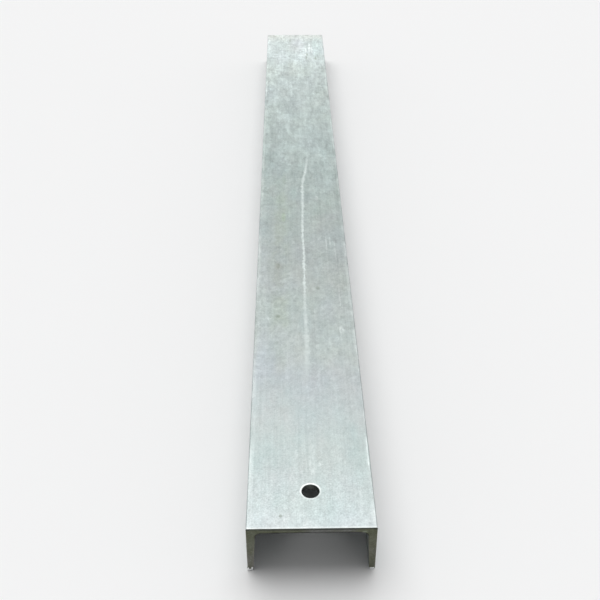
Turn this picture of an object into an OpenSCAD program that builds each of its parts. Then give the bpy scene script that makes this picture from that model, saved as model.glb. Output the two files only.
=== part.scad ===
// Rolled steel channel with tapered flanges, cut to length, with one
// round hole through the web near one end.
//
// Frame: X across the web, Y along the length, Z up. The piece lies with
// its flange toes on Z = 0 and its web on top, and the origin is below the
// middle of the piece. The hole is near the -Y end. All sizes are in
// millimetres.

/* [Section] */
// Depth of the channel, across the outer faces of the flanges
channel_depth = 100; // [80:1:140]
// Width of the flanges, from the back of the web to the toes
flange_width = 48; // [44:1:52]
// Thickness of the web
web_thickness = 5.3; // [4:0.1:6.5]
// Mean thickness of the flanges, halfway between the web and the toe
flange_thickness = 6; // [5.5:0.1:8]
// Taper of the inner flange faces, in percent
flange_taper = 6; // [4:0.5:8]
// Radius of the fillets between the web and the flanges
root_radius = 6; // [4:0.5:9]
// Radius of the inner corner of each flange toe
toe_radius = 2.5; // [1.5:0.25:3]

/* [Length] */
// Cut length of the piece
channel_length = 1150; // [300:10:6000]

/* [Hole] */
// Diameter of the hole through the web
hole_diameter = 14; // [8:0.5:22]
// Distance from the cut end to the centre of the hole
hole_offset = 38; // [20:1:100]

/* [Hidden] */

$fn = 96;

half_depth = channel_depth / 2;
// Height of the inner face of the web above the toes
web_underside = flange_width - web_thickness;
// The mean flange thickness is measured at this height
mid_height = web_underside / 2;
slope = flange_taper / 100;
// Angle of the inner flange faces from the vertical
lean = atan(slope);
// How far cutting shapes run past the faces that they cut
over = 2;
// The toe rounds are this much larger, so that each one crosses the inner
// flange face, instead of only touching it and leaving a sliver of a face
bite = 0.005;

// Thickness of a flange at height z above the toes
function flange_at(z) = flange_thickness + slope * (z - mid_height);

// X of the inner face of the right-hand flange at height z
function inner_x(z) = half_depth - flange_at(z);

// Centre of a root fillet: root_radius below the web's inner face, and
// root_radius away from the inner flange face, measured square to it
fillet_z = web_underside - root_radius;
fillet_x = inner_x(fillet_z) - root_radius / cos(lean);
// Where the fillet runs into the inner flange face. The outward normal of
// that face, seen from the trough, points right and slightly up.
fillet_end = [fillet_x + root_radius * cos(lean), fillet_z + root_radius * sin(lean)];

// Centre of a toe round, inside the steel: toe_radius above the toe plane
// and toe_radius outside the inner flange face, measured square to it
toe_z = toe_radius;
toe_x = inner_x(toe_z) + toe_radius / cos(lean);
// Where the toe round runs into the inner flange face
toe_end = [toe_x - toe_radius * cos(lean), toe_z - toe_radius * sin(lean)];

// The open trough between the flanges and below the web, with both root
// fillets left standing in its upper corners
module trough() {
    polygon([
        [-inner_x(-over), -over],
        [-fillet_end[0], fillet_end[1]],
        [-fillet_x, fillet_z],
        [-fillet_x, web_underside],
        [fillet_x, web_underside],
        [fillet_x, fillet_z],
        [fillet_end[0], fillet_end[1]],
        [inner_x(-over), -over]
    ]);
    for (side = [-1, 1])
        translate([side * fillet_x, fillet_z]) circle(r = root_radius);
}

// What is taken off the right-hand toe to round its inner corner
module toe_corner() {
    difference() {
        polygon([
            [toe_x, toe_z],
            [toe_x, -over],
            [inner_x(-over) - over, -over],
            [toe_end[0] - over * cos(lean), toe_end[1] - over * sin(lean)],
            toe_end
        ]);
        translate([toe_x, toe_z]) circle(r = toe_radius + bite);
    }
}

// The rolled section, toes down
module section() {
    difference() {
        translate([-half_depth, 0]) square([channel_depth, flange_width]);
        trough();
        toe_corner();
        mirror([1, 0]) toe_corner();
    }
}

// The hole through the web, near the -Y end
module web_hole() {
    translate([0, hole_offset - channel_length / 2, web_underside - over])
        cylinder(d = hole_diameter, h = web_thickness + 2 * over);
}

module channel() {
    color([0.78, 0.82, 0.81])
    difference() {
        rotate([90, 0, 0])
            linear_extrude(height = channel_length, center = true)
                section();
        web_hole();
    }
}

channel();
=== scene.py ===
import math

import bpy
import numpy as np
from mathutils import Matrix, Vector, noise


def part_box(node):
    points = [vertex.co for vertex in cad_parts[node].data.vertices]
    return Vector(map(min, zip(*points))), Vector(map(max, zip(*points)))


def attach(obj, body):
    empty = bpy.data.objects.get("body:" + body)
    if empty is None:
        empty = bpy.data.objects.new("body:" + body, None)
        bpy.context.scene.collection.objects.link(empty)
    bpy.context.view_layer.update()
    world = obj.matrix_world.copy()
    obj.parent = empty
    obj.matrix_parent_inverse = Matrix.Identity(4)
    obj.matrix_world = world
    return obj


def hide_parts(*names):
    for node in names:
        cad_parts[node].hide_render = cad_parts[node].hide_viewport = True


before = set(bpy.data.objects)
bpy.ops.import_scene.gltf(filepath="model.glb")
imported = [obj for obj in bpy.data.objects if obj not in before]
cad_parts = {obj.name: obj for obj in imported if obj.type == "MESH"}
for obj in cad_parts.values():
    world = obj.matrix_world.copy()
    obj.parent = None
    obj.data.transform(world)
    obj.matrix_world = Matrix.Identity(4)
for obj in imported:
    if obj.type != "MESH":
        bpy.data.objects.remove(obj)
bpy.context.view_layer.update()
LO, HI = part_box("channel")
MM = 0.001

# ---------------------------------------------------------------------------
# Sizes, in metres, as the CAD section has them
# ---------------------------------------------------------------------------
HALF = (HI.x - LO.x) / 2
TOP = HI.z
Y0, Y1 = LO.y, HI.y
LENGTH = Y1 - Y0
WEB = 5.3 * MM
FLANGE = 6 * MM
SLOPE = 0.06
ROOT_R = 6 * MM
TOE_R = 2.5 * MM
HOLE_R = 7 * MM
HOLE_Y = Y0 + 38 * MM

# The rolled and dipped skin lies this far inside the CAD box, so that the
# zinc's beads, rims and waves stay within it
SKIN = 0.15 * MM
END_SKIN = 0.75 * MM
CORNER_R = 1.0 * MM
TOE_CORNER_R = 0.9 * MM


# ---------------------------------------------------------------------------
# The section: ribs that run from the outer outline to the inner one
# ---------------------------------------------------------------------------
def spread(a, b, n, power=1.0):
    """n + 1 numbers from a to b; power above 1 packs them near a."""
    t = np.linspace(0, 1, n + 1) ** power
    return a + (b - a) * t


def right_half():
    """Outer and inner outline points of the right half, from the middle of the web to the middle of the toe, with their outward normals."""
    top, side, toe = TOP - SKIN, HALF - SKIN, SKIN * 0.6
    under = TOP - WEB
    lean = math.atan(SLOPE)
    c, s = math.cos(lean), math.sin(lean)
    mid = (TOP - WEB) / 2

    def inner_x(z):
        return HALF - (FLANGE + SLOPE * (z - mid))

    fz = under - ROOT_R
    fx = inner_x(fz) - ROOT_R / c
    tz = TOE_R + toe
    tx = inner_x(tz) + TOE_R / c
    toe_mid = ((side - TOE_CORNER_R) + tx) / 2

    n_hole, n_web, n_corner, n_flange, n_toe, n_flat = 8, 13, 8, 17, 6, 1
    outer, inner = [], []

    def add(line, x, z, nx, nz):
        line.append((x, z, nx, nz))

    for x in spread(0, 16 * MM, n_hole)[:-1]:
        add(outer, x, top, 0, 1)
        add(inner, x, under, 0, -1)
    # towards the corner, closer together, so that the round shades cleanly
    for t in spread(1, 0, n_web, 1.35)[:-1]:
        add(outer, side - CORNER_R - t * (side - CORNER_R - 16 * MM), top, 0, 1)
    for t in spread(1, 0, n_web)[:-1]:
        add(inner, fx - t * (fx - 16 * MM), under, 0, -1)
    for k in range(n_corner):
        a = math.radians(90) * (1 - k / n_corner)
        add(outer, side - CORNER_R + CORNER_R * math.cos(a), top - CORNER_R + CORNER_R * math.sin(a), math.cos(a), math.sin(a))
        a = math.radians(90) + (lean - math.radians(90)) * k / n_corner
        add(inner, fx + ROOT_R * math.cos(a), fz + ROOT_R * math.sin(a), -math.cos(a), -math.sin(a))
    z_hi, z_lo = top - CORNER_R, toe + TOE_CORNER_R
    i_hi, i_lo = fz + ROOT_R * s, tz - TOE_R * s
    share = 1 - spread(0, 1, n_flange, 1.5)[::-1]
    for t in share[:-1]:
        z = z_hi + (z_lo - z_hi) * t
        add(outer, side, z, 1, 0)
        z = i_hi + (i_lo - i_hi) * t
        add(inner, inner_x(z), z, -c, -s)
    for k in range(n_toe):
        a = -math.radians(90) * k / n_toe
        add(outer, side - TOE_CORNER_R + TOE_CORNER_R * math.cos(a), z_lo + TOE_CORNER_R * math.sin(a), math.cos(a), math.sin(a))
        a = math.radians(180) + lean + (math.radians(90) - lean) * k / n_toe
        add(inner, tx + TOE_R * math.cos(a), tz + TOE_R * math.sin(a), math.cos(a), math.sin(a))
    for t in spread(0, 1, n_flat)[:-1] if n_flat else []:
        add(outer, (side - TOE_CORNER_R) + (toe_mid - side + TOE_CORNER_R) * t, toe, 0, -1)
        add(inner, tx + (toe_mid - tx) * t, toe, 0, -1)
    add(outer, toe_mid, toe, 0, -1)
    add(inner, toe_mid, toe, 0, -1)
    return np.array(outer), np.array(inner)


OUT_R, IN_R = right_half()
N = len(OUT_R) - 1


def mirrored(line):
    left = line[1:][::-1].copy()
    left[:, 0] *= -1
    left[:, 2] *= -1
    return np.vstack([left, line])


OUTER, INNER = mirrored(OUT_R), mirrored(IN_R)  # ribs 0 .. 2N, the web's middle at N
RIBS = 2 * N + 1
# the closed outline: the outer line from left toe to right toe, and back along the inner line
LOOP = np.vstack([OUTER, INNER[1:-1][::-1]])
COUNT = len(LOOP)


def outer_at(j):
    return j


def inner_at(j):
    return j if j in (0, 2 * N) else COUNT - j


# ---------------------------------------------------------------------------
# Stations along the length
# ---------------------------------------------------------------------------
def stations():
    """(distance from the -Y end, how far the outline is drawn in), which rounds the cut edges."""
    near = [(0, 0.30), (0.03, 0.19), (0.10, 0.10), (0.20, 0.035), (0.33, 0.0), (0.6, 0), (0.95, 0), (1.4, 0), (2.0, 0), (2.7, 0), (3.5, 0), (4.5, 0), (5.7, 0), (7.2, 0), (9, 0), (11, 0), (13.2, 0), (15.4, 0), (17.6, 0), (19.8, 0)]
    hole0 = 38 - 16
    hole = [(hole0 + 2 * k, 0) for k in range(17)]
    length = LENGTH / MM
    far = [(length - a, d) for a, d in near if a <= 17.6]
    first, last = hole[-1][0], far[-1][0]
    n = int(round((last - first) / 4.6))
    mid = [(first + (last - first) * k / n, 0) for k in range(1, n)]
    return near + hole + mid + far[::-1], len(near), len(near) + 16


STATIONS, H0, H1 = stations()
LAST = len(STATIONS) - 1


def station_y(k):
    """The skin's ends lie END_SKIN inside the box, and the rest is where it should be."""
    a = STATIONS[k][0] * MM
    y = Y0 + a
    near, far = max(0, 1 - a / (12 * MM)), max(0, 1 - (LENGTH - a) / (12 * MM))
    return y + END_SKIN * near - END_SKIN * far


verts, normals, faces = [], [], []
tags = {"cut": [], "inside": [], "edge": [], "core": []}


def vertex(p, n, cut=0.0, inside=0.0, edge=0.0, core=0.0):
    """One point of the skin. cut: on a cut end, inside: in the trough, edge: on a long outer corner, core: how deep in a cut face, from its outline."""
    verts.append(p)
    normals.append(n)
    for key, value in (("cut", cut), ("inside", inside), ("edge", edge), ("core", core)):
        tags[key].append(value)
    return len(verts) - 1


def is_inner(i):
    return i > 2 * N


# what counts as a long edge: the rounded corners, where the zinc is thin and bright
def edge_share(i):
    j = i if i <= 2 * N else COUNT - i
    d = abs(j - N)
    if is_inner(i):
        return 0.0
    return 1.0 if 21 <= d <= 29 else 0.0


grid = {}
for k, (a, d) in enumerate(STATIONS):
    y = station_y(k)
    end = k in (0, LAST)
    side = -1.0 if a < LENGTH / MM / 2 else 1.0
    for i in range(COUNT):
        top_rib = N - 8 < i < N + 8
        low_rib = COUNT - (N + 8) < i < COUNT - (N - 8)
        if H0 < k < H1 and (top_rib or low_rib):
            continue
        x, z, nx, nz = LOOP[i]
        b = d * MM
        tilt = min(1.0, d / 0.30)
        n = Vector((nx * (1 - tilt * 0.9), side * tilt, nz * (1 - tilt * 0.9))).normalized()
        cut = {0.30: 1.0, 0.19: 1.0, 0.10: 0.9, 0.035: 0.3}.get(d, 0.0)
        grid[k, i] = vertex((x - nx * b, y, z - nz * b), tuple(n), cut=cut, inside=1.0 if is_inner(i) else 0.0, edge=edge_share(i))

for k in range(LAST):
    for i in range(COUNT):
        i2 = (i + 1) % COUNT
        quad = [grid.get((k, i)), grid.get((k, i2)), grid.get((k + 1, i2)), grid.get((k + 1, i))]
        if H0 <= k < H1:
            if N - 8 <= i < N + 8 or COUNT - (N + 8) <= i < COUNT - (N - 8):
                continue
        faces.append(quad)

# the cut faces, a fine grid from the outer to the inner outline
ACROSS = 8
for k, side in ((0, -1.0), (LAST, 1.0)):
    y = station_y(k)
    rows = []
    for j in range(RIBS):
        o, i = grid[k, outer_at(j)], grid[k, inner_at(j)]
        if o == i:
            rows.append([o] * (ACROSS + 1))
            continue
        po, pi = Vector(verts[o]), Vector(verts[i])
        row = [o]
        for m in range(1, ACROSS):
            p = po.lerp(pi, m / ACROSS)
            deep = min(m, ACROSS - m) / ACROSS * (po - pi).length
            row.append(vertex(tuple(p), (0, side, 0), cut=1.0, core=deep))
        rows.append(row + [i])
    for j in range(RIBS - 1):
        for m in range(ACROSS):
            quad = [rows[j][m], rows[j][m + 1], rows[j + 1][m + 1], rows[j + 1][m]]
            if side > 0:
                quad = quad[::-1]
            ring = []
            for q in quad:
                if q not in ring:
                    ring.append(q)
            if len(ring) > 2:
                faces.append(ring)

# the hole: rings from its wall out to the square patch left open in the web
around = (
    [(H0 + m, N - 8) for m in range(16)]
    + [(H1, N - 8 + m) for m in range(16)]
    + [(H1 - m, N + 8) for m in range(16)]
    + [(H0, N + 8 - m) for m in range(16)]
)
top_z, low_z = TOP - SKIN, TOP - WEB
lip = 0.5 * MM
top_rings = [(HOLE_R + lip * (1 - math.cos(a)), top_z - lip * (1 - math.sin(a)), a) for a in np.radians([0, 25, 50, 75, 90])]
flat_rings = [(HOLE_R + 0.95 * MM, 0.05 * MM), (HOLE_R + 1.5 * MM, 0.06 * MM), (HOLE_R + 2.3 * MM, 0.02 * MM), (HOLE_R + 3.5 * MM, 0)]
loops = []
square_top = [grid[s] for s in around]
square_low = [grid[k, COUNT - j if j not in (0, 2 * N) else j] for k, j in around]
angles = [math.atan2(verts[v][1] - HOLE_Y, verts[v][0]) for v in square_top]


def ring(radius, z, normal_of, **zone):
    out = []
    for a in angles:
        u = Vector((math.cos(a), math.sin(a), 0))
        p = Vector((0, HOLE_Y, z)) + u * radius
        out.append(vertex(tuple(p), tuple(normal_of(u)), **zone))
    return out


def between(inner_r, square, z, t, up, **zone):
    out = []
    for a, v in zip(angles, square):
        u = Vector((math.cos(a), math.sin(a), 0))
        p = (Vector((0, HOLE_Y, z)) + u * inner_r).lerp(Vector((verts[v][0], verts[v][1], z)), t)
        out.append(vertex(tuple(p), (0, 0, up), **zone))
    return out


loops.append(square_top)
for t in (0.72, 0.4):
    loops.append(between(HOLE_R + 3.5 * MM, square_top, top_z, t, 1))
for r, h in flat_rings[::-1]:
    loops.append(ring(r, top_z + h, lambda u: (0, 0, 1)))
for r, z, a in top_rings[::-1]:
    loops.append(ring(r, z, lambda u, a=a: (-u.x * math.cos(a), -u.y * math.cos(a), math.sin(a))))
for z in spread(top_z - lip, low_z + 0.5 * MM, 4)[1:]:
    loops.append(ring(HOLE_R, z, lambda u: (-u.x, -u.y, 0), inside=0.6))
for a in np.radians([30, 60, 90]):
    loops.append(ring(HOLE_R + 0.5 * MM * (1 - math.cos(a)), low_z + 0.5 * MM * (1 - math.sin(a)), lambda u, a=a: (-u.x * math.cos(a), -u.y * math.cos(a), -math.sin(a)), inside=0.9))
for r in (HOLE_R + 1.5 * MM, HOLE_R + 3.5 * MM):
    loops.append(ring(r, low_z, lambda u: (0, 0, -1), inside=1.0))
for t in (0.4, 0.72):
    loops.append(between(HOLE_R + 3.5 * MM, square_low, low_z, t, -1, inside=1.0))
loops.append(square_low)
for a, b in zip(loops, loops[1:]):
    for m in range(64):
        m2 = (m + 1) % 64
        faces.append([a[m], a[m2], b[m2], b[m]])

# ---------------------------------------------------------------------------
# Relief: the rolled steel's long waves, a few knocks, and the zinc on it
# ---------------------------------------------------------------------------
P = np.array(verts)
NRM = np.array(normals)
NRM /= np.linalg.norm(NRM, axis=1)[:, None]
cut_tag = np.array(tags["cut"])


def field(points, scale, seed):
    sx, sy, sz = scale
    return np.array([noise.noise(Vector((p[0] * sx + seed, p[1] * sy - seed, p[2] * sz + 2 * seed))) for p in points])


# the back of the web is flatter towards the end with the hole
calm = 1 - 0.55 * (NRM[:, 2] > 0.5) * (1 - np.clip((P[:, 1] - Y0 - 0.10) / 0.18, 0, 1))
amount = 0.07 * MM * field(P, (22, 9, 22), 3.1)
amount += 0.035 * MM * calm * field(P, (70, 45, 70), 11.7)
amount += 0.018 * MM * calm * field(P, (260, 200, 260), 29.3)
edge_tag = np.array(tags["edge"])
amount += edge_tag * (0.07 * MM * field(P, (60, 30, 60), 41.0) + 0.03 * MM * field(P, (60, 150, 60), 47.0))
# the cut faces are a little uneven
amount += cut_tag * 0.10 * MM * field(P, (330, 330, 330), 53.0)

# beads where the zinc ran together: on the toes' ends, along the toes, at the edges of the cut faces
BEADS = []
rng = np.random.default_rng(71)


def bead(x, y, z, radius, height):
    BEADS.append((x, y, z, radius * MM, height * MM))


e0, e1 = Y0 + END_SKIN, Y1 - END_SKIN


def toe_rim(sx, y, up_outer, up_inner, radius, height, gap=()):
    """Zinc left standing on the face of a cut toe: up its outer side, along the bottom and up its inner side, in mm."""
    outer_x, inner_x, low = 49.1, 46.2, 1.15
    line = [(outer_x, z) for z in np.arange(up_outer, low + 0.2, -0.5)]
    line += [(x, low) for x in np.arange(outer_x, inner_x, -0.5)]
    line += [(inner_x - 0.02 * z, z) for z in np.arange(low + 0.3, up_inner, 0.5)]
    for n, (x, z) in enumerate(line):
        if n in gap:
            continue
        wave = 1 + 0.2 * math.sin(2.1 * n + 9 * sx + 700 * y)
        bead(sx * x * MM, y, z * MM, radius * wave, height * wave)


toe_rim(-1, e0, 3.4, 3.9, 0.72, 0.40)
toe_rim(1, e0, 1.6, 1.7, 0.80, 0.26, gap=(0, 1))
bead(HALF - 2.7 * MM, e0, 0.9 * MM, 1.1, 0.42)
toe_rim(-1, e1, 2.2, 3.0, 0.75, 0.36, gap=(0, 3))
toe_rim(1, e1, 3.0, 2.2, 0.80, 0.38)
for _ in range(26):
    sx = rng.choice((-1, 1))
    y = rng.uniform(Y0 + 4 * MM, Y1 - 4 * MM)
    if rng.random() < 0.5:
        y = Y0 + abs(rng.normal(0, 60)) * MM + 3 * MM
    bead(sx * (HALF - 4.6 * MM + rng.uniform(-0.3, 0.5) * MM), y, rng.uniform(1.0, 3.0) * MM, rng.uniform(1.0, 2.0), rng.uniform(0.25, 0.6))
for x, y, radius, height in ((-31, e1, 1.2, 0.35), (12, e1, 1.0, 0.30), (27, e1, 1.3, 0.40)):
    bead(x * MM, y, TOP - WEB, radius, height)
bead_tag = np.zeros(len(P))
for x, y, z, radius, height in BEADS:
    d2 = (P[:, 0] - x) ** 2 + (P[:, 1] - y) ** 2 + (P[:, 2] - z) ** 2
    g = np.exp(-d2 / radius**2)
    amount += height * g
    bead_tag = np.maximum(bead_tag, g)

# shallow knocks from handling
for x, y, r, deep in ((-31, -470, 7, 0.10), (24, -300, 9, 0.12), (-12, -95, 12, 0.10), (33, 120, 8, 0.14), (-36, 260, 6, 0.12), (8, 420, 10, 0.10), (-22, 505, 6, 0.10)):
    d2 = (P[:, 0] - x * MM) ** 2 + (P[:, 1] - y * MM) ** 2
    amount -= deep * MM * np.exp(-d2 / (r * MM) ** 2) * (NRM[:, 2] > 0.5)

P = P + NRM * amount[:, None]
low = np.array([LO.x, LO.y, LO.z])
high = np.array([HI.x, HI.y, HI.z])
P = np.clip(P, low, high)

mesh = bpy.data.meshes.new("channel_steel")
mesh.from_pydata([tuple(p) for p in P], [], faces)
mesh.validate()
mesh.update()
import bmesh

bm = bmesh.new()
bm.from_mesh(mesh)
bmesh.ops.recalc_face_normals(bm, faces=bm.faces)
bm.to_mesh(mesh)
bm.free()
for key, values in (*tags.items(), ("bead", bead_tag)):
    layer = mesh.attributes.new(key, "FLOAT", "POINT")
    layer.data.foreach_set("value", np.asarray(values, np.float32))
mesh.shade_smooth()
channel = bpy.data.objects.new("galvanised_channel", mesh)
bpy.context.scene.collection.objects.link(channel)
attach(channel, "root")
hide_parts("channel")


# ---------------------------------------------------------------------------
# Materials
# ---------------------------------------------------------------------------
class Nodes:
    """Short names for making shader nodes."""

    def __init__(self, name):
        self.material = bpy.data.materials.new(name)
        self.material.use_nodes = True
        self.tree = self.material.node_tree
        self.tree.nodes.clear()

    def add(self, kind, inputs=None, **props):
        node = self.tree.nodes.new(kind)
        for key, value in props.items():
            setattr(node, key, value)
        for key, value in (inputs or {}).items():
            self.put(node.inputs[key], value)
        return node

    def put(self, socket, value):
        if isinstance(value, bpy.types.NodeSocket):
            self.tree.links.new(value, socket)
        else:
            socket.default_value = value

    def math(self, operation, a, b=0.0, c=0.0, clamp=False):
        node = self.add("ShaderNodeMath", operation=operation, use_clamp=clamp)
        for socket, value in zip(node.inputs, (a, b, c)):
            self.put(socket, value)
        return node.outputs[0]

    def step(self, value, a, b, lo=0.0, hi=1.0, smooth=True):
        node = self.add("ShaderNodeMapRange", interpolation_type="SMOOTHSTEP" if smooth else "LINEAR")
        for key, v in (("Value", value), ("From Min", a), ("From Max", b), ("To Min", lo), ("To Max", hi)):
            self.put(node.inputs[key], v)
        return node.outputs["Result"]

    def mix(self, share, a, b, blend="MIX"):
        node = self.add("ShaderNodeMix", data_type="RGBA", blend_type=blend)
        self.put(node.inputs[0], share)
        self.put(node.inputs[6], a if isinstance(a, bpy.types.NodeSocket) else (*a, 1.0))
        self.put(node.inputs[7], b if isinstance(b, bpy.types.NodeSocket) else (*b, 1.0))
        return node.outputs[2]

    def noise(self, vector, scale, detail=2.0, rough=0.5, distortion=0.0):
        node = self.add("ShaderNodeTexNoise", {"Vector": vector, "Scale": scale, "Detail": detail, "Roughness": rough, "Distortion": distortion})
        return node.outputs["Fac"]

    def scaled(self, vector, x, y, z, offset=(0, 0, 0)):
        node = self.add("ShaderNodeMapping", {"Vector": vector, "Scale": (x, y, z), "Location": offset})
        return node.outputs[0]

    def voronoi(self, vector, scale, feature="F1", output="Distance", randomness=1.0):
        node = self.add("ShaderNodeTexVoronoi", {"Vector": vector, "Scale": scale, "Randomness": randomness}, feature=feature)
        return node.outputs[output]

    def ramp(self, value, rows):
        """A colour ramp through rows of (place, red, green, blue), and its colour."""
        node = self.add("ShaderNodeValToRGB", {"Fac": value})
        elements = node.color_ramp.elements
        elements[0].position, elements[0].color = rows[0][0], (*rows[0][1:], 1)
        elements[1].position, elements[1].color = rows[-1][0], (*rows[-1][1:], 1)
        for at, *colour in rows[1:-1]:
            elements.new(at).color = (*colour, 1)
        return node.outputs["Color"]

    def graph(self, value, rows):
        """A number that follows rows of (place, value) in straight lines."""
        return self.add("ShaderNodeSeparateColor", {"Color": self.ramp(value, [(at, v, v, v) for at, v in rows])}).outputs[0]

    def attribute(self, name):
        return self.add("ShaderNodeAttribute", attribute_name=name).outputs["Fac"]


def galvanised():
    m = Nodes("galvanised_zinc")
    place = m.add("ShaderNodeTexCoord").outputs["Object"]
    x, y, z = m.add("ShaderNodeSeparateXYZ", {"Vector": place}).outputs
    s = m.math("SUBTRACT", y, Y0)  # metres from the end with the hole
    upward = m.add("ShaderNodeSeparateXYZ", {"Vector": m.add("ShaderNodeNewGeometry").outputs["Normal"]}).outputs["Z"]
    web_top = m.math("MULTIPLY", m.step(upward, 0.6, 0.9), m.step(z, TOP - 0.004, TOP - 0.002))
    cut, inside, edge, beads = (m.attribute(n) for n in ("cut", "inside", "edge", "bead"))

    def vary(value, texture, amount):
        """Multiply by one plus a share of how far the texture is from its middle."""
        return m.math("MULTIPLY", value, m.math("MULTIPLY_ADD", texture, amount, 1 - amount / 2))

    # how pale the zinc is along the length: duller in the middle, whiter at the far end; partly the zinc's own tone,
    # partly painted sheen that makes the ends paler
    tone_and_sheen_stops = [
        (0.0, 0.427), (0.04, 0.398), (0.06, 0.379), (0.10, 0.377), (0.155, 0.347), (0.18, 0.351), (0.22, 0.352), (0.26, 0.348), (0.30, 0.341),
        (0.35, 0.330), (0.40, 0.350), (0.46, 0.364), (0.52, 0.368), (0.59, 0.428), (0.67, 0.439), (0.735, 0.471), (0.855, 0.541), (0.91, 0.652),
        (0.965, 0.616), (0.99, 0.659), (1.0, 0.657),
    ]
    along = m.graph(m.math("DIVIDE", s, LENGTH), tone_and_sheen_stops)
    tone = m.math("MULTIPLY_ADD", web_top, m.math("SUBTRACT", along, 0.43), 0.43)

    # mottling, from hand-sized clouds down to grains of a millimetre or two
    cloud = m.noise(m.scaled(place, 1, 0.4, 1), 24, 2, 0.5)
    patch = m.noise(m.scaled(place, 1, 0.6, 1), 62, 2, 0.55)
    blot = m.noise(m.scaled(place, 1, 0.8, 1), 150, 2, 0.6)
    grain = m.noise(m.scaled(place, 1, 0.55, 1), 330, 2, 0.65)
    dust = m.noise(place, 760, 2, 0.7)
    stir = m.add("ShaderNodeTexNoise", {"Vector": place, "Scale": 420.0, "Detail": 3.0, "Roughness": 0.7})
    shift = m.add("ShaderNodeVectorMath", {0: stir.outputs["Color"], "Scale": 0.0042}, operation="SCALE")
    feathered = m.add("ShaderNodeVectorMath", {0: place, 1: shift.outputs[0]}, operation="ADD").outputs[0]
    cells = m.add("ShaderNodeTexVoronoi", {"Vector": m.scaled(feathered, 1, 0.75, 1), "Scale": 250.0, "Randomness": 1.0})
    cell = m.add("ShaderNodeSeparateColor", {"Color": cells.outputs["Color"]}).outputs[0]
    small_cells = m.add("ShaderNodeTexVoronoi", {"Vector": feathered, "Scale": 560.0, "Randomness": 1.0})
    small_cell = m.add("ShaderNodeSeparateColor", {"Color": small_cells.outputs["Color"]}).outputs[1]
    off_web = m.math("SUBTRACT", 1.0, web_top)
    uneven = m.math("ADD", m.step(s, 0.10, 0.30, 0.66, 1.20), m.step(s, 0.80, 1.05, 0.0, 0.50))
    uneven = m.math("MULTIPLY_ADD", off_web, m.math("SUBTRACT", 1.2, uneven), uneven)
    spangle = m.math("MULTIPLY_ADD", off_web, 1.3, uneven)
    # the big patches all but vanish towards the end with the hole
    patchy = m.math("ADD", m.graph(s, [(0.025, 0.44), (0.06, 0.32), (0.12, 0.32), (0.27, 1.0)]), m.step(s, 0.80, 1.05, 0.0, 0.58))
    patchy = m.math("MULTIPLY_ADD", off_web, m.math("SUBTRACT", 1.2, patchy), patchy)
    for texture, amount in ((cloud, 0.12), (patch, 0.11), (blot, 0.17), (grain, 0.25), (cell, 0.065), (small_cell, 0.08)):
        share = spangle if texture in (cell, small_cell) else uneven if texture == grain else patchy
        tone = m.math("MULTIPLY", tone, m.math("MULTIPLY_ADD", m.math("SUBTRACT", texture, 0.5), m.math("MULTIPLY", share, amount), 1.0))
    tone = m.math("MULTIPLY", tone, m.math("MULTIPLY_ADD", m.math("SUBTRACT", dust, 0.5), m.math("SUBTRACT", m.step(s, 0.10, 0.03, 0.48, 0.85), m.step(s, 0.80, 1.0, 0.0, 0.18)), 1.0))
    # rolled streaks along the length, strongest by the edges, and faint bands across it
    streak = m.noise(m.scaled(place, 420, 4.0, 420), 1.0, 3, 0.6)
    wide_streak = m.noise(m.scaled(place, 90, 1.6, 90), 1.0, 2, 0.5)
    hairline = m.noise(m.scaled(place, 900, 9, 900), 1.0, 2, 0.6)
    dash = m.noise(m.scaled(place, 430, 130, 430), 1.0, 3, 0.65)
    fleck = m.noise(m.scaled(place, 165, 38, 165), 1.0, 3, 0.6)
    smear = m.noise(m.scaled(place, 46, 12, 46, (3, 0, 0)), 1.0, 2, 0.5)
    by_edge = m.step(m.math("ABSOLUTE", x), 0.034, 0.046)
    tone = m.math("MULTIPLY", tone, m.math("MULTIPLY_ADD", m.math("SUBTRACT", streak, 0.5), m.math("MULTIPLY_ADD", by_edge, 0.14, m.step(s, 0.1, 0.3, 0.13, 0.26)), 1.0))
    tone = m.math("MULTIPLY", tone, m.math("MULTIPLY_ADD", m.math("SUBTRACT", dash, 0.5), m.graph(s, [(0.03, 0.26), (0.07, 0.17), (0.14, 0.15), (0.26, 0.0)]), 1.0))
    tone = vary(tone, wide_streak, 0.14)
    tone = m.math("MULTIPLY", tone, m.math("MULTIPLY_ADD", m.math("SUBTRACT", hairline, 0.5), m.step(s, 0.10, 0.24, 0.20, 0.13), 1.0))
    far = m.math("MULTIPLY_ADD", off_web, m.math("SUBTRACT", 0.45, m.step(s, 0.38, 0.68)), m.step(s, 0.38, 0.68))
    for texture, amount in ((fleck, m.math("MULTIPLY_ADD", far, 0.64, 0.10)), (smear, m.math("MULTIPLY", far, 0.60))):
        tone = m.math("MULTIPLY", tone, m.math("MULTIPLY_ADD", m.math("SUBTRACT", texture, 0.5), amount, 1.0))
    band = m.noise(m.scaled(place, 5, 120, 5), 1.0, 2, 0.6)
    tone = vary(tone, band, 0.08)

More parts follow.
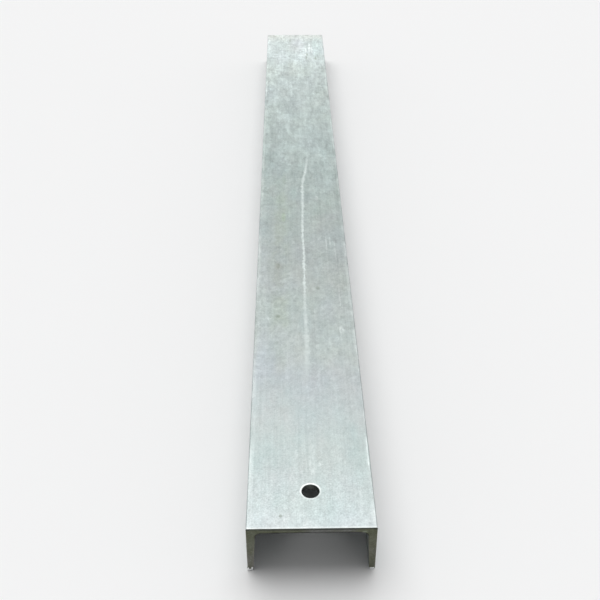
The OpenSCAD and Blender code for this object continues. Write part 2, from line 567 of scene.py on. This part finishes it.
    # hue: a cool grey-green that shifts a little along the length, in drifting patches
    tints = [
        (0.0, 0.918, 1.010), (0.02, 0.892, 0.990), (0.045, 0.890, 0.988), (0.06, 0.877, 0.980), (0.085, 0.879, 0.981), (0.10, 0.895, 0.992),
        (0.155, 0.908, 1.018), (0.18, 0.904, 0.983), (0.22, 0.889, 0.962), (0.26, 0.890, 0.976), (0.30, 0.905, 0.979), (0.35, 0.896, 0.996),
        (0.40, 0.875, 0.961), (0.46, 0.857, 0.953), (0.52, 0.855, 0.973), (0.59, 0.857, 0.972), (0.67, 0.862, 0.959), (0.735, 0.873, 0.978),
        (0.855, 0.883, 0.967), (0.91, 0.891, 0.985), (0.965, 0.893, 0.996), (0.99, 0.940, 0.969), (1.0, 0.945, 0.967),
    ]
    tint = m.ramp(m.math("DIVIDE", s, LENGTH), [(at, red, 1.0, blue) for at, red, blue in tints])
    hue = m.mix(web_top, (0.89, 1.0, 0.985), tint)
    rosy = m.noise(m.scaled(place, 1, 0.45, 1), 42, 4, 0.62)
    bluish = m.noise(m.scaled(place, 1, 0.45, 1, (5, 2, 0)), 26, 3, 0.55)
    rosy = m.math("MULTIPLY_ADD", m.math("SUBTRACT", rosy, 0.5), m.math("ADD", m.step(s, 0.12, 0.25, 0.19, 0.12), m.step(s, 0.62, 0.72, 0.0, -0.06)), 1.0)
    bluish = m.math("MULTIPLY_ADD", m.math("SUBTRACT", bluish, 0.5), m.math("ADD", m.step(s, 0.12, 0.25, 0.06, 0.19), m.step(s, 0.45, 0.66, 0.0, -0.07)), 1.0)
    drift = m.add("ShaderNodeCombineColor", {"Red": rosy, "Green": 1.0, "Blue": bluish}).outputs[0]
    hue = m.mix(1.0, hue, drift, "MULTIPLY")
    grey = m.add("ShaderNodeCombineColor", {"Red": tone, "Green": tone, "Blue": tone}).outputs[0]
    colour = m.mix(1.0, grey, hue, "MULTIPLY")

    # an olive, slightly darker belt left of the middle
    belt = m.math("MULTIPLY", m.step(m.math("ABSOLUTE", m.math("ADD", x, 0.024)), 0.013, 0.003), m.math("MULTIPLY", m.step(s, 0.17, 0.27), m.step(s, 0.62, 0.50)))
    belt = m.math("MULTIPLY", m.math("MULTIPLY", belt, m.step(patch, 0.35, 0.62)), web_top)
    colour = m.mix(m.math("MULTIPLY", belt, 0.36), colour, m.mix(1.0, colour, (0.93, 0.94, 0.80), "MULTIPLY"))

    # small marks: place across, place along, half sizes across and along, strength
    spot = m.add("ShaderNodeCombineXYZ", {"X": x, "Y": s}).outputs[0]

    def mark(px, ps, rx, rs):
        node = m.add("ShaderNodeVectorMath", {0: spot, 1: (1 / rx, 1 / rs, 0), 2: (-px / rx, -ps / rs, 0)}, operation="MULTIPLY_ADD")
        return m.step(m.add("ShaderNodeVectorMath", {0: node.outputs[0]}, operation="LENGTH").outputs["Value"], 1.15, 0.45)

    def marks(rows):
        total = None
        for px, ps, rx, rs, strength in rows:
            one = m.math("MULTIPLY", mark(px * MM, ps * MM, rx * MM, rs * MM), strength)
            total = one if total is None else m.math("MAXIMUM", total, one)
        return m.math("MULTIPLY", total, web_top)

    # stains: place across, place along, half sizes across and along, and what they do to the colour
    for px, ps, rx, rs, effect in (
        (-42, 285, 8, 120, (1.0, 0.995, 1.015)), (27, 232, 10, 15, (1.045, 1.04, 1.06)), (1, 262, 8, 26, (0.97, 0.99, 1.0)),
        (28, 472, 16, 11, (0.97, 0.945, 0.96)), (27, 450, 16, 22, (0.955, 0.945, 0.95)), (-33, 543, 8, 22, (1.0, 0.98, 0.98)),
        (-9, 533, 5, 24, (1.11, 1.145, 1.13)), (-21, 473, 3, 13, (0.97, 1.005, 0.91)), (-20, 572, 3, 17, (0.89, 0.905, 0.87)),
        (-8, 502, 5, 14, (1.055, 1.07, 1.05)), (-15, 600, 11, 22, (1.045, 1.05, 1.045)), (-24, 200, 7, 22, (0.97, 0.975, 0.95)), (35, 200, 9, 22, (1.03, 1.03, 1.04)), (30, 622, 11, 22, (0.97, 0.97, 0.97)),
        (-27, 366, 5.5, 9, (0.97, 0.95, 0.93)), (2, 1092, 17, 42, (1.035, 1.0, 1.015)),
        (39, 1090, 12, 62, (0.95, 0.98, 0.965)), (38, 1036, 11, 22, (0.94, 0.95, 0.93)), (8, 1010, 13, 46, (1.05, 1.045, 1.06)), (-39, 1141, 10, 9, (0.94, 0.94, 0.91)),
        (-40, 963, 11, 14, (0.87, 0.87, 0.87)), (-24, 962, 11, 14, (1.15, 1.15, 1.15)), (-8, 992, 11, 26, (1.10, 1.10, 1.09)), (42, 1015, 10, 64, (0.93, 0.93, 0.93)),
        (23, 1121, 12, 19, (1.16, 1.16, 1.16)), (-24, 1028, 10, 12, (0.91, 0.91, 0.91)), (-23, 1087, 11, 12, (1.07, 1.07, 1.07)), (14, 1086, 14, 9, (0.92, 0.92, 0.92)),
        (-35, 1132, 13, 15, (0.93, 0.93, 0.92)), (8, 1131, 10, 12, (1.05, 1.05, 1.05)), (26, 994, 11, 14, (1.05, 1.05, 1.05)),
    ):
        stain = m.math("MULTIPLY", mark(px * MM, ps * MM, rx * MM, rs * MM), m.step(patch, 0.25, 0.5, 0.6, 1.0))
        colour = m.mix(m.math("MULTIPLY", stain, web_top), colour, m.mix(1.0, colour, effect, "MULTIPLY"))

    darks = marks([(-27, 366, 2.4, 6, 0.6), (-28, 316, 2.0, 3, 0.4), (-26.5, 272, 2.8, 3.5, 0.7), (-27.5, 229, 2.2, 2.6, 0.5), (15, 322, 2.6, 4, 0.75), (-23.5, 13, 1.5, 1.8, 1.2), (19.8, 1043, 1.7, 9, 1.0), (18.2, 1027, 1.5, 10, 1.0), (33.7, 1024, 2.2, 8, 1.0), (-32.5, 1055, 1.6, 7, 0.7), (29, 1122, 3.0, 5, 0.5), (-9.5, 1115, 1.8, 9, 0.7), (1, 1079, 5.0, 4, 0.35), (31, 868, 1.6, 4, 0.4), (-6, 243, 1.6, 2.6, 0.35), (38, 700, 1.7, 5, 0.3)])
    darks = m.math("MULTIPLY", darks, m.step(grain, 0.3, 0.55, 0.55, 1.0))
    colour = m.mix(darks, colour, m.mix(1.0, colour, (0.66, 0.67, 0.62), "MULTIPLY"))
    # pale marks on the web; the two at 48.3 and 48.1 mm across are painted highlights along the right long edge, near
    # the end with the hole
    lights = marks([(-36, 268, 2.6, 8, 0.16), (-28, 282, 2.0, 4, 0.2), (-42, 330, 5.0, 90, 0.06), (27.5, 412, 1.3, 16, 0.3), (31.8, 417, 1.1, 12, 0.25), (37, 395, 1.1, 30, 0.15), (37, 305, 1.1, 26, 0.15), (20, 520, 2.6, 8, 0.22), (36, 248, 2.6, 8, 0.25), (24, 1079, 2.0, 28, 1.0), (18, 1066, 1.9, 15, 1.0), (28.2, 1068, 1.6, 20, 1.0), (15.8, 1043, 2.0, 6, 0.7), (45.5, 1087, 1.6, 14, 0.6), (44.5, 992, 1.6, 7, 0.6), (-25, 1143, 14, 4, 0.4), (-11, 78, 1.6, 6, 0.25), (8, 67, 1.8, 2.4, 0.20), (2, 72, 3.2, 26, 0.13), (48.3, 86, 0.7, 13, 0.36), (48.1, 70, 0.7, 7, 0.36)])
    lights = m.math("MULTIPLY", lights, m.math("MULTIPLY", m.step(grain, 0.35, 0.6, 0.45, 1.0), m.step(dash, 0.38, 0.58, 0.35, 1.1)))
    colour = m.mix(lights, colour, (0.80, 0.86, 0.85))

    # white oxide run down the middle of the web, with a kink towards its far end
    course = m.add("ShaderNodeFloatCurve", {"Value": m.math("DIVIDE", s, 0.7)})
    line = course.mapping.curves[0]
    for ps, px in ((150, 0), (200, 0.6), (230, 1.3), (280, 0.9), (330, 1.0), (385, 1.5), (440, 0.9), (490, 1.9), (530, 2.4), (560, 3.2), (585, 6.2), (605, 8.4), (635, 10.6)):
        line.points.new(ps / 700, 0.5 + px / 40)
    line.points[0].location = (0, 0.5)
    line.points[-1].location = (1, 0.5 + 15 / 40)
    course.mapping.update()
    sway = m.math("MULTIPLY", m.math("SUBTRACT", m.noise(m.scaled(place, 0, 60, 0), 1.0, 2, 0.5), 0.5), 0.0016)
    path = m.math("ADD", m.math("MULTIPLY", m.math("SUBTRACT", course.outputs[0], 0.5), 0.04), sway)
    off = m.math("ABSOLUTE", m.math("SUBTRACT", x, path))
    width = m.step(s, 0.20, 0.34, 0.0033, 0.0017, smooth=False)
    width = m.math("ADD", width, m.step(s, 0.42, 0.58, 0.0, 0.0005, smooth=False))
    width = m.math("MULTIPLY", width, m.step(m.noise(m.scaled(place, 0, 90, 0), 1.0, 3, 0.65), 0.3, 0.7, 0.55, 1.35))
    frayed = m.math("MULTIPLY", m.math("SUBTRACT", grain, 0.5), 0.004)
    run = m.math("SUBTRACT", 1.0, m.math("DIVIDE", m.math("ADD", off, frayed), width), clamp=True)
    run = m.math("POWER", run, 0.55)
    shares = [(0.160, 0.0), (0.185, 0.25), (0.210, 0.52), (0.310, 0.60), (0.335, 0.95), (0.430, 1.0), (0.455, 0.74), (0.590, 0.74), (0.612, 0.55), (0.655, 0.0)]
    run = m.math("MULTIPLY", run, m.graph(s, shares))
    run = m.math("MULTIPLY", run, m.step(m.noise(m.scaled(place, 60, 110, 0, (0, 4, 0)), 1.0, 3, 0.7), 0.35, 0.62, 0.62, 1.12))
    run = m.math("MULTIPLY", run, web_top)
    colour = m.mix(m.math("MULTIPLY", run, 0.85), colour, (0.70, 0.77, 0.75))

    # zinc stands bright along the long corners; a painted highlight rings the hole and runs along the edge of the cut
    # ends
    worn = m.math("MULTIPLY", edge, m.step(m.noise(m.scaled(place, 1, 0.3, 1), 90, 3, 0.6), 0.35, 0.65))
    colour = m.mix(m.math("MULTIPLY", worn, 0.28), colour, (0.80, 0.85, 0.84))
    ragged = m.math("MULTIPLY", m.math("SUBTRACT", m.noise(place, 380, 3, 0.65), 0.5), 0.0024)
    from_end = m.math("ADD", m.math("MINIMUM", s, m.math("SUBTRACT", LENGTH, s)), ragged)
    # painted highlight: a pale band within about 3 mm of each cut end, where the rounded edge catches light
    rim_highlight = m.math("MULTIPLY", m.step(from_end, 0.0030, 0.0016), m.step(patch, 0.3, 0.6, 0.6, 1.0))
    colour = m.mix(m.math("MULTIPLY", rim_highlight, 0.50), colour, (0.60, 0.63, 0.62))
    apart = m.add("ShaderNodeCombineXYZ", {"X": x, "Y": m.math("SUBTRACT", y, HOLE_Y)})
    ring_at = m.add("ShaderNodeVectorMath", {0: apart.outputs[0]}, operation="LENGTH").outputs["Value"]
    # painted highlight: a pale ring round the hole's lip, stronger on its far, left side
    hole_halo_highlight = m.math("MULTIPLY", m.step(m.math("MULTIPLY_ADD", ragged, 0.6, ring_at), HOLE_R + 0.0020, HOLE_R + 0.0006), web_top)
    beyond = m.math("ADD", m.math("SUBTRACT", y, HOLE_Y), m.math("MULTIPLY", x, -0.5))
    hole_halo_highlight = m.math("MULTIPLY", hole_halo_highlight, m.step(m.math("MULTIPLY_ADD", ragged, 2.0, beyond), -0.007, 0.006, 0.38, 0.85))
    colour = m.mix(hole_halo_highlight, colour, (0.74, 0.77, 0.755))
    # painted shade: a dark band just under the hole's top lip, down its wall
    bore_shade = m.math("MULTIPLY", m.step(ring_at, HOLE_R + 0.0006, HOLE_R + 0.0001), m.step(z, TOP - 0.0002, TOP - 0.0010))
    colour = m.mix(m.math("MULTIPLY", bore_shade, 0.85), colour, (0.10, 0.105, 0.085))

    # inside the trough and down the hole: lumpy zinc, made darker than outside with painted shade
    trough_shade = m.mix(m.step(blot, 0.35, 0.65), (0.09, 0.098, 0.098), (0.20, 0.216, 0.212))
    colour = m.mix(m.math("MULTIPLY", inside, 0.7), colour, trough_shade)

    # cut faces: olive grey, dull, with fine marks of the blade
    blade = m.noise(m.scaled(place, 1, 1, 14), 130, 3, 0.6)
    face = m.mix(m.step(m.noise(place, 85, 2, 0.6), 0.35, 0.65), (0.076, 0.084, 0.045), (0.102, 0.110, 0.073))
    face = m.mix(m.step(dust, 0.42, 0.72, 0, 0.6), face, (0.172, 0.183, 0.127))
    face = m.mix(m.step(blade, 0.5, 0.75, 0, 0.45), face, (0.147, 0.155, 0.107))
    core = m.attribute("core")
    # painted highlight: a paler line round the cut face's outline
    face = m.mix(m.step(core, 0.0010, 0.0002, 0, 0.55), face, (0.137, 0.146, 0.102))
    # paler and greyer along the right half of the web's end, and down the flanges, where it is painted light: paler
    # towards their lower ends, offsetting the shade near the floor
    stretch = m.math("MULTIPLY", m.math("MULTIPLY", m.step(x, -0.010, 0.0), m.step(x, 0.037, 0.029)), m.step(z, TOP - 0.0064, TOP - 0.0050))
    stretch = m.math("MULTIPLY", stretch, m.step(grain, 0.25, 0.5, 0.7, 1.0))
    face = m.mix(stretch, face, m.mix(1.0, face, (1.40, 1.33, 1.90), "MULTIPLY"))
    painted_low_light = m.math("MULTIPLY", m.graph(z, [(0.008, 1.0), (0.036, 0.0)]), m.step(x, 0.0, -0.01))
    face = m.mix(painted_low_light, face, m.mix(1.0, face, (1.65, 1.53, 2.0), "MULTIPLY"))
    painted_low_light = m.math("MULTIPLY", m.graph(z, [(0.006, 0.35), (0.024, 1.0), (0.040, 0.0)]), m.step(x, 0.0, 0.01))
    face = m.mix(painted_low_light, face, m.mix(1.0, face, (1.29, 1.22, 1.42), "MULTIPLY"))
    # painted shade: a dark line along the top of the cut face, under the bright rim, fainter towards the far end
    top_shade_line = m.math("MULTIPLY", m.step(z, TOP - 0.0027, TOP - 0.0017), m.step(core, 0.0030, 0.0017))
    top_shade_line = m.math("MULTIPLY", top_shade_line, m.math("MULTIPLY", m.step(blot, 0.30, 0.60, 0.78, 1.0), m.step(s, 0.10, 1.0, 0.92, 0.35)))
    face = m.mix(top_shade_line, face, (0.040, 0.045, 0.036))
    # painted shade: a thinner dark line along the lower arris of the web's end and its fillets
    low_shade_line = m.math("MULTIPLY", m.step(z, TOP - 0.0038, TOP - 0.0044), m.step(core, 0.0012, 0.0006))
    low_shade_line = m.math("MULTIPLY", low_shade_line, m.math("MULTIPLY", m.step(z, 0.034, 0.041), m.step(m.math("ABSOLUTE", x), 0.0462, 0.0450)))
    face = m.mix(m.math("MULTIPLY", low_shade_line, m.step(blot, 0.30, 0.60, 0.75, 1.0)), face, (0.014, 0.016, 0.012))
    node = m.add("ShaderNodeVectorMath", {0: m.add("ShaderNodeCombineXYZ", {"X": x, "Z": z}).outputs[0], 1: (1 / 0.0022, 0, 1 / 0.0010), 2: (-0.040 / 0.0022, 0, -(TOP - 0.0046) / 0.0010)}, operation="MULTIPLY_ADD")
    face = m.mix(m.step(m.add("ShaderNodeVectorMath", {0: node.outputs[0]}, operation="LENGTH").outputs["Value"], 1.2, 0.4, 0, 0.6), face, (0.30, 0.34, 0.26))
    sharp = m.step(cut, 0.35, 0.8)
    colour = m.mix(sharp, colour, face)
    zinc = m.step(m.math("MULTIPLY_ADD", m.math("SUBTRACT", grain, 0.5), 0.5, beads), 0.32, 0.55)
    colour = m.mix(zinc, colour, (0.82, 0.84, 0.84))

    # relief too fine for the mesh
    height = m.math("ADD", m.math("MULTIPLY", grain, 0.5), m.math("MULTIPLY", blot, m.math("MULTIPLY_ADD", patchy, 0.7, 0.3, clamp=True)))
    height = m.math("MULTIPLY_ADD", dust, 0.25, height)
    height = m.math("MULTIPLY_ADD", cells.outputs["Distance"], 0.35, height)
    height = m.math("MULTIPLY_ADD", streak, 0.5, height)
    height = m.math("MULTIPLY_ADD", m.math("MULTIPLY", blot, inside), 3.0, height)
    height = m.math("MULTIPLY_ADD", m.math("MULTIPLY", blade, cut), 0.9, height)
    bump = m.add("ShaderNodeBump", {"Strength": 0.45, "Distance": 0.00022, "Height": height})

    # each zinc grain lies at its own small angle and has its own gloss
    lean = m.add("ShaderNodeVectorMath", {0: cells.outputs["Color"], 1: (0.5, 0.5, 0.5)}, operation="SUBTRACT")
    lean = m.add("ShaderNodeVectorMath", {0: lean.outputs[0], "Scale": m.math("MULTIPLY", patchy, 0.061)}, operation="SCALE")
    normal = m.add("ShaderNodeVectorMath", {0: bump.outputs[0], 1: lean.outputs[0]}, operation="ADD")
    normal = m.add("ShaderNodeVectorMath", {0: normal.outputs[0]}, operation="NORMALIZE")
    glossy = m.math("MULTIPLY_ADD", m.math("SUBTRACT", blot, 0.5), 0.16, m.math("MULTIPLY", m.math("SUBTRACT", cell, 0.5), 0.16))
    rough = m.math("MULTIPLY_ADD", glossy, m.math("MULTIPLY_ADD", patchy, 0.9, 0.1, clamp=True), 0.42)
    rough = m.math("MULTIPLY_ADD", run, 0.25, rough)
    rough = m.math("MULTIPLY_ADD", sharp, 0.16, rough)
    rough = m.math("MULTIPLY_ADD", zinc, m.math("SUBTRACT", 0.28, rough), rough)
    metal = m.math("SUBTRACT", 0.72, m.math("MULTIPLY", run, 0.45))
    metal = m.math("SUBTRACT", metal, m.math("MULTIPLY", sharp, 0.30))
    metal = m.math("MULTIPLY_ADD", zinc, m.math("SUBTRACT", 0.95, metal), metal)
    shader = m.add("ShaderNodeBsdfPrincipled", {"Base Color": colour, "Roughness": rough, "Metallic": metal, "Normal": normal.outputs[0]})
    m.add("ShaderNodeOutputMaterial", {"Surface": shader.outputs[0]})
    return m.material


mesh.materials.append(galvanised())

# ---------------------------------------------------------------------------
# Floor, light and camera
# ---------------------------------------------------------------------------
floor_mesh = bpy.data.meshes.new("studio_floor")
R = 80.0
floor_mesh.from_pydata([(-R, -R, 0), (R, -R, 0), (R, R, 0), (-R, R, 0)], [], [(0, 1, 2, 3)])
floor = bpy.data.objects.new("studio_floor", floor_mesh)
bpy.context.scene.collection.objects.link(floor)
paper = bpy.data.materials.new("pale_floor")
paper.use_nodes = True
sheet = paper.node_tree.nodes["Principled BSDF"]
sheet.inputs["Base Color"].default_value = (0.90, 0.90, 0.90, 1)
sheet.inputs["Roughness"].default_value = 1.0
sheet.inputs["Specular IOR Level"].default_value = 0.0
floor_mesh.materials.append(paper)

world = bpy.data.worlds.new("studio")
bpy.context.scene.world = world
world.use_nodes = True
sky = world.node_tree.nodes
wires = world.node_tree.links
towards = sky.new("ShaderNodeTexCoord")
height = sky.new("ShaderNodeSeparateXYZ")
wires.new(towards.outputs["Generated"], height.inputs[0])


def wire(kind, links, **props):
    node = sky.new(kind)
    for key, value in props.items():
        setattr(node, key, value)
    for key, value in links.items():
        if isinstance(value, bpy.types.NodeSocket):
            wires.new(value, node.inputs[key])
        else:
            node.inputs[key].default_value = value
    return node


# as pale as the floor at the horizon, above it brighter behind the piece than in front
behind = wire("ShaderNodeMapRange", {"Value": height.outputs["Y"], "From Min": -0.70, "From Max": 0.7, "To Min": 0.18, "To Max": 0.76}, interpolation_type="SMOOTHSTEP")
rise = wire("ShaderNodeMapRange", {"Value": height.outputs["Z"], "From Min": 0.20, "From Max": 0.40}, interpolation_type="SMOOTHSTEP")
level = wire("ShaderNodeMix", {0: rise.outputs[0], 2: 0.9093, 3: behind.outputs[0]})
wires.new(level.outputs[0], sky["Background"].inputs["Strength"])
sky["Background"].inputs["Color"].default_value = (0.992, 0.996, 1.0, 1)

# one broad soft light, high up and a little behind the piece, as even over the floor as daylight
soft = bpy.data.lights.new("overhead_softbox", "SUN")
soft.angle = math.radians(62)
soft.energy = 1.74
soft_ob = bpy.data.objects.new("overhead_softbox", soft)
soft_ob.rotation_euler = Vector((0.11, -0.46, -1.0)).to_track_quat("-Z", "Y").to_euler()
bpy.context.scene.collection.objects.link(soft_ob)

camera_data = bpy.data.cameras.new("camera")
camera_data.sensor_width = 36
camera_data.lens = 52.0
camera_data.clip_start = 0.01
camera_data.clip_end = 60
camera = bpy.data.objects.new("camera", camera_data)
camera.location = (-0.0157, Y0 - 0.434, TOP + 0.514)
camera.rotation_euler = (math.radians(90 - 35.0), 0, math.radians(-0.9))
bpy.context.scene.collection.objects.link(camera)
bpy.context.scene.camera = camera

scene = bpy.context.scene
scene.view_settings.view_transform = "Standard"
scene.view_settings.look = "None"
scene.view_settings.exposure = 0
scene.view_settings.gamma = 1
